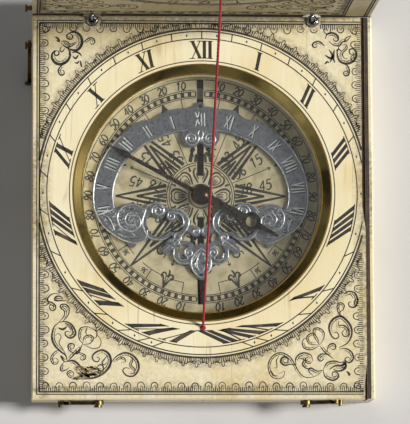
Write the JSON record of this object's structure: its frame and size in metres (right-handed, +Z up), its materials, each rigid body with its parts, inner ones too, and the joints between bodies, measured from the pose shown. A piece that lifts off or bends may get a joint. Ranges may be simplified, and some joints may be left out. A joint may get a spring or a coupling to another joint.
{
  "type": "diptych sundial",
  "caption": "Pocket sundial of two hinged ivory tablets: a compass well with a sliding hour plate, a string gnomon between the tablets, hooks, and a setting disc underneath.",
  "frame": {"origin": "middle of the base tablet's underside, on the surface that the dial stands on", "axes": "+Z up, +Y from the front edge towards the hinge (north in use), +X to the right; the lid stands upright at rest"},
  "size_m": [0.0673, 0.0828, 0.085],
  "materials": {
    "ivory": "satin",
    "brass": "satin",
    "steel": "satin",
    "pewter": "satin",
    "glass": "gloss",
    "card": "matte",
    "thread": "matte"
  },
  "bodies": {
    "base": {"base_tablet": "ivory", "base_strip_left": "ivory", "base_strip_right": "ivory", "compass_bezel": "brass", "compass_glass": "glass", "compass_card": "card", "needle_pivot": "brass", "disc_rivet": "brass", "base_hinge_eyes": "steel", "front_hook_pins": "brass", "stay_pin": "brass", "thread_foot": "thread", "gnomon_thread": "thread"},
    "lid": {"lid_tablet": "ivory", "lid_strip_right": "ivory", "lid_hinge_eyes": "steel", "lid_catch_studs": "brass", "stay_stud": "brass", "thread_head": "thread", "moon_rivet": "brass"},
    "moon": {"moon_disc": "pewter"},
    "needle": {"compass_needle": "steel", "needle_cap": "brass"},
    "plate": {"hour_plate": "pewter", "plate_guide_pin": "pewter", "plate_drive_pin": "pewter"},
    "calendar": {"calendar_disc": "pewter"},
    "left_hook": {"front_hook_left": "brass"},
    "right_hook": {"front_hook_right": "brass"},
    "stay": {"stay_hook": "brass"}
  },
  "joints": [
    {"name": "lid_hinge", "type": "hinge", "parent": "base", "child": "lid", "pos_m": [0, 0.03725, 0.00915], "axis": [1, 0, 0], "range_deg": [0, 90], "deforming": ["gnomon_thread"]},
    {"name": "moon_turn", "type": "hinge", "parent": "lid", "child": "moon", "pos_m": [-0.0001, 0.0374, 0.04615], "axis": [0, 1, 0], "continuous": true},
    {"name": "needle_spin", "type": "hinge", "parent": "base", "child": "needle", "pos_m": [-0.0001, 0.0028, 0.0045], "axis": [0, 0, 1], "continuous": true},
    {"name": "calendar_turn", "type": "hinge", "parent": "base", "child": "calendar", "pos_m": [-0.0001, 0.0028, 0], "axis": [0, 0, 1], "range_deg": [-150, 150]},
    {"name": "hour_plate_slide", "type": "slide", "parent": "base", "child": "plate", "axis": [0, 1, 0], "range_m": [-0.0048, 0.0048]},
    {"name": "left_hook_swing", "type": "hinge", "parent": "base", "child": "left_hook", "pos_m": [-0.0202, -0.03725, 0.006], "axis": [0, 1, 0], "range_deg": [-45, 90]},
    {"name": "right_hook_swing", "type": "hinge", "parent": "base", "child": "right_hook", "pos_m": [0.0199, -0.03725, 0.006], "axis": [0, 1, 0], "range_deg": [-60, 75]},
    {"name": "stay_swing", "type": "hinge", "parent": "base", "child": "stay", "pos_m": [-0.033, 0.0317, 0.0068], "axis": [1, 0, 0], "range_deg": [-195.6, 0]}
  ],
  "couplings": [
    {"joint": "hour_plate_slide", "follows": "calendar_turn", "m_per_rad": 0.0018335}
  ]
}
